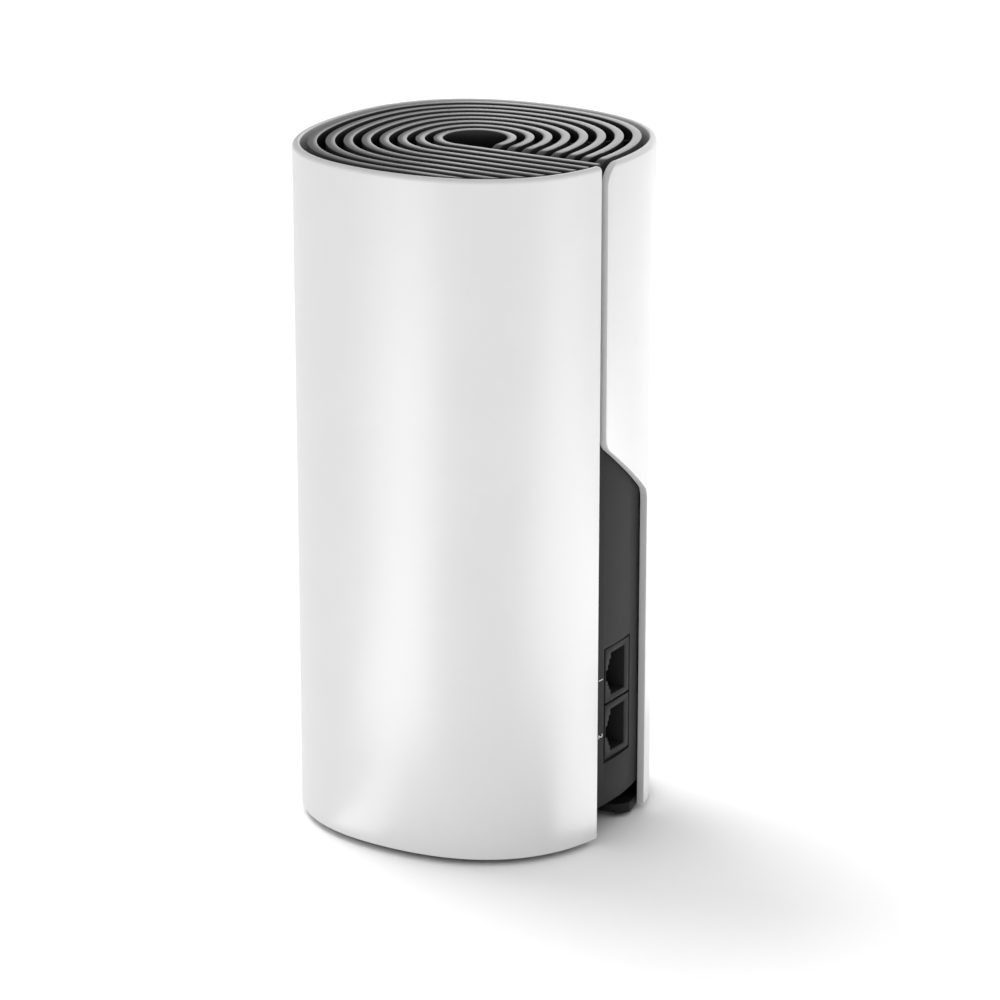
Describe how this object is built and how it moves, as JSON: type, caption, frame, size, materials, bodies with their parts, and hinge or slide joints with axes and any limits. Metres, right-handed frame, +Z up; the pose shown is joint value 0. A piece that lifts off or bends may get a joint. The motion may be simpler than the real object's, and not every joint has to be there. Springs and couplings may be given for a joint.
{
  "type": "mesh wifi node",
  "caption": "Upright rounded-square mesh wifi node with a white wrap-around shell, a spiral vent grille on top and stacked network sockets in a stepped opening at the rear.",
  "frame": {"origin": "centre of the foot's underside, on the surface that it stands on", "axes": "+Z up, +Y towards the rear, where the seam and the sockets are, +X towards the side whose grille bars run straight"},
  "size_m": [0.0908, 0.0908, 0.185],
  "materials": {
    "white_shell": "satin",
    "black_grille": "satin",
    "black_plastic": "matte",
    "rubber": "matte",
    "board": "satin solder mask",
    "chip": "matte",
    "aluminium": "satin",
    "steel": "satin",
    "gold": "plated",
    "pad": "matte",
    "clear": "clear",
    "paper": "matte"
  },
  "bodies": {
    "tower": {"aerial_1": "gold", "aerial_2": "gold", "aerial_3": "gold", "aerial_4": "gold", "aerial_lead_1": "black_plastic", "aerial_lead_2": "black_plastic", "aerial_lead_3": "black_plastic", "aerial_lead_4": "black_plastic", "base_cover": "black_plastic", "base_screw_1": "steel", "base_screw_2": "steel", "base_screw_3": "steel", "base_screw_4": "steel", "board_screw_1": "steel", "board_screw_2": "steel", "capacitor_1": "aluminium", "capacitor_2": "aluminium", "clock_crystal": "steel", "flash_chip": "chip", "foot_ring": "rubber", "front_frame": "black_plastic", "heat_sink_left": "aluminium", "heat_sink_right": "aluminium", "lan_transformer_1": "chip", "lan_transformer_2": "chip", "lead_plug_1": "gold", "lead_plug_2": "gold", "lead_plug_3": "gold", "lead_plug_4": "gold", "light_pipe": "clear", "main_board": "board", "main_chip": "chip", "memory_chip": "chip", "outer_shell": "white_shell", "power_inductor": "chip", "power_pin": "steel", "power_socket": "black_plastic", "rating_label": "paper", "rear_frame": "black_plastic", "reset_switch": "chip", "rj45_contacts_1": "gold", "rj45_contacts_2": "gold", "rj45_jack_1": "black_plastic", "rj45_jack_2": "black_plastic", "sink_screw_1": "steel", "sink_screw_2": "steel", "sink_screw_3": "steel", "sink_screw_4": "steel", "status_light": "clear", "switch_chip": "chip", "thermal_pad_left": "pad", "thermal_pad_right": "pad", "top_grille": "black_grille", "wifi_shield_high": "steel", "wifi_shield_low": "steel"},
    "reset_button": {"reset_button": "black_plastic"},
    "reset_plunger": {"reset_plunger": "white_shell"}
  },
  "joints": [
    {"name": "reset_press", "type": "slide", "parent": "tower", "child": "reset_button", "axis": [0, 0, 1], "range_m": [0, 0.0006], "stiffness_N_per_m": 800, "springref_m": -0.0005},
    {"name": "plunger_press", "type": "slide", "parent": "tower", "child": "reset_plunger", "axis": [0, 0, 1], "range_m": [0, 0.0006]}
  ],
  "couplings": [
    {"joint": "plunger_press", "follows": "reset_press", "ratio": 1}
  ]
}
